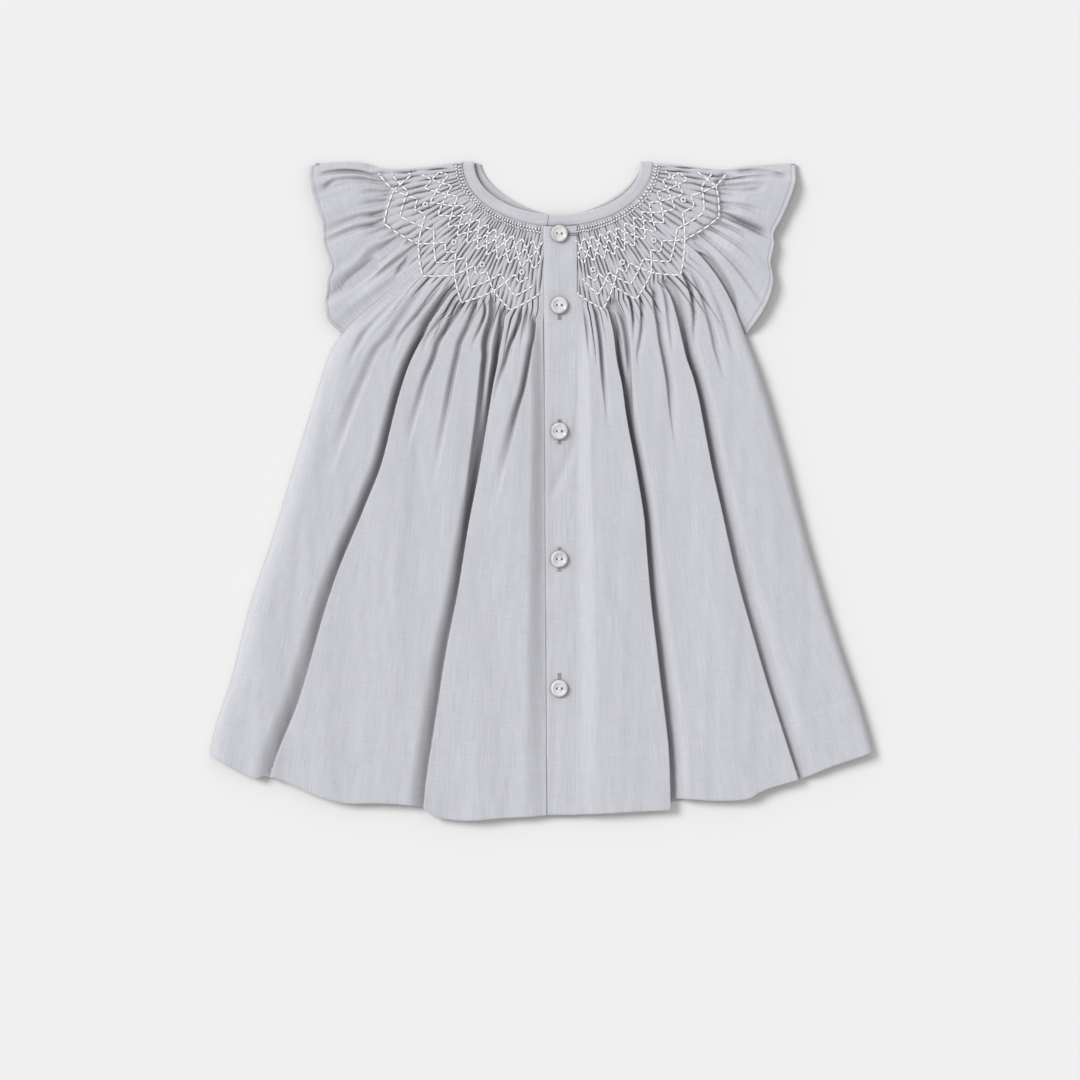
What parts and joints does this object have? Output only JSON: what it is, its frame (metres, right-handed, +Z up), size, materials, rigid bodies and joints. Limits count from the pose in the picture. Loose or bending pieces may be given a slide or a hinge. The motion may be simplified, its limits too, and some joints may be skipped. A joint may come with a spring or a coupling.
{
  "type": "smocked dress",
  "caption": "Baby dress with a round smocked yoke, flutter raglan sleeves, gathered skirt and buttoned back placket, laid flat on its front.",
  "frame": {"origin": "on the table under the middle of the dress's box", "axes": "+X to the right of the picture, +Y from the hem to the shoulders, +Z up from the table"},
  "size_m": [0.3972, 0.3948, 0.0077],
  "materials": {
    "cloth": "plain woven cotton with slub, matt",
    "button": "pearly, softly polished",
    "thread": "off-white stranded embroidery thread"
  },
  "bodies": {
    "root": {"front": "cloth", "back_left": "cloth", "back_right": "cloth", "sleeve_left": "cloth", "sleeve_right": "cloth", "neck_band": "cloth", "placket": "cloth", "button_1": "button", "button_2": "button", "button_3": "button", "button_4": "button", "button_5": "button"}
  },
  "joints": []
}
